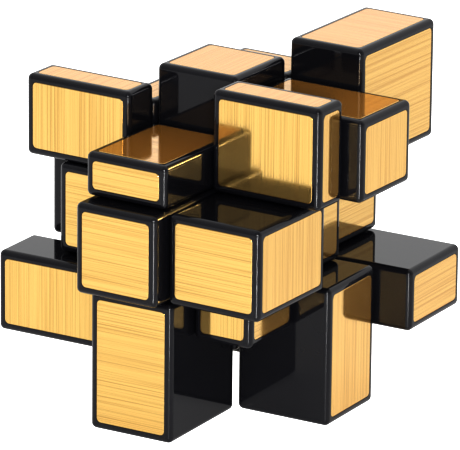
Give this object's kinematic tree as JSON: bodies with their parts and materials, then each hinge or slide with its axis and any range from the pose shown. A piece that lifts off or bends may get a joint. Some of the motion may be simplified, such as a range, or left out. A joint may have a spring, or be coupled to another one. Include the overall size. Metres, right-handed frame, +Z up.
{
  "type": "mirror block cube",
  "caption": "Layered twisting puzzle: hollow gloss black blocks of unequal depth with brushed gold foil faces, held by hooked feet on a sprung six-armed core.",
  "frame": {"origin": "on the surface that the cube rests on, straight below the centre of its core, on the axis that the top and bottom layers turn about", "axes": "+Z up along the axis of the top and bottom layers, -Y out of the front, +X out of the right side"},
  "size_m": [0.0765, 0.0768, 0.0728],
  "materials": {
    "black_plastic": "gloss moulded black plastic",
    "gold_foil": "mirror gold foil with fine brushed lines",
    "inner_plastic": "satin moulded black plastic",
    "screw_steel": "plated steel",
    "spring_steel": "drawn spring wire"
  },
  "bodies": {
    "core_and_middle_layer": {"centre_cap_left": "black_plastic", "centre_cap_front": "black_plastic", "centre_cap_back": "black_plastic", "centre_cap_right": "black_plastic", "edge_front_left": "black_plastic", "foil_edge_front_left": "gold_foil", "edge_back_left": "black_plastic", "foil_edge_back_left": "gold_foil", "edge_front_right": "black_plastic", "foil_edge_front_right": "gold_foil", "edge_back_right": "black_plastic", "foil_edge_back_right": "gold_foil", "foil_centres_middle": "gold_foil", "feet_middle": "inner_plastic", "centre_bases_middle": "inner_plastic", "core": "inner_plastic", "axle_screws": "screw_steel", "axle_washers": "screw_steel", "axle_springs": "spring_steel"},
    "top_layer": {"centre_cap_top": "black_plastic", "edge_top_left": "black_plastic", "foil_edge_top_left": "gold_foil", "edge_top_front": "black_plastic", "foil_edge_top_front": "gold_foil", "edge_top_back": "black_plastic", "foil_edge_top_back": "gold_foil", "edge_top_right": "black_plastic", "foil_edge_top_right": "gold_foil", "corner_top_front_left": "black_plastic", "foil_corner_top_front_left": "gold_foil", "corner_top_back_left": "black_plastic", "foil_corner_top_back_left": "gold_foil", "corner_top_front_right": "black_plastic", "foil_corner_top_front_right": "gold_foil", "corner_top_back_right": "black_plastic", "foil_corner_top_back_right": "gold_foil", "foil_centre_top": "gold_foil", "feet_top": "inner_plastic", "centre_base_top": "inner_plastic"},
    "bottom_layer": {"centre_cap_bottom": "black_plastic", "edge_bottom_left": "black_plastic", "foil_edge_bottom_left": "gold_foil", "edge_bottom_front": "black_plastic", "foil_edge_bottom_front": "gold_foil", "edge_bottom_back": "black_plastic", "foil_edge_bottom_back": "gold_foil", "edge_bottom_right": "black_plastic", "foil_edge_bottom_right": "gold_foil", "corner_bottom_front_left": "black_plastic", "foil_corner_bottom_front_left": "gold_foil", "corner_bottom_back_left": "black_plastic", "foil_corner_bottom_back_left": "gold_foil", "corner_bottom_front_right": "black_plastic", "foil_corner_bottom_front_right": "gold_foil", "corner_bottom_back_right": "black_plastic", "foil_corner_bottom_back_right": "gold_foil", "foil_centre_bottom": "gold_foil", "feet_bottom": "inner_plastic", "centre_base_bottom": "inner_plastic"}
  },
  "joints": [
    {"name": "top_layer_turn", "type": "hinge", "parent": "core_and_middle_layer", "child": "top_layer", "pos_m": [0, 0, 0.0384], "axis": [0, 0, 1], "continuous": true},
    {"name": "bottom_layer_turn", "type": "hinge", "parent": "core_and_middle_layer", "child": "bottom_layer", "pos_m": [0, 0, 0.0384], "axis": [0, 0, 1], "continuous": true}
  ]
}
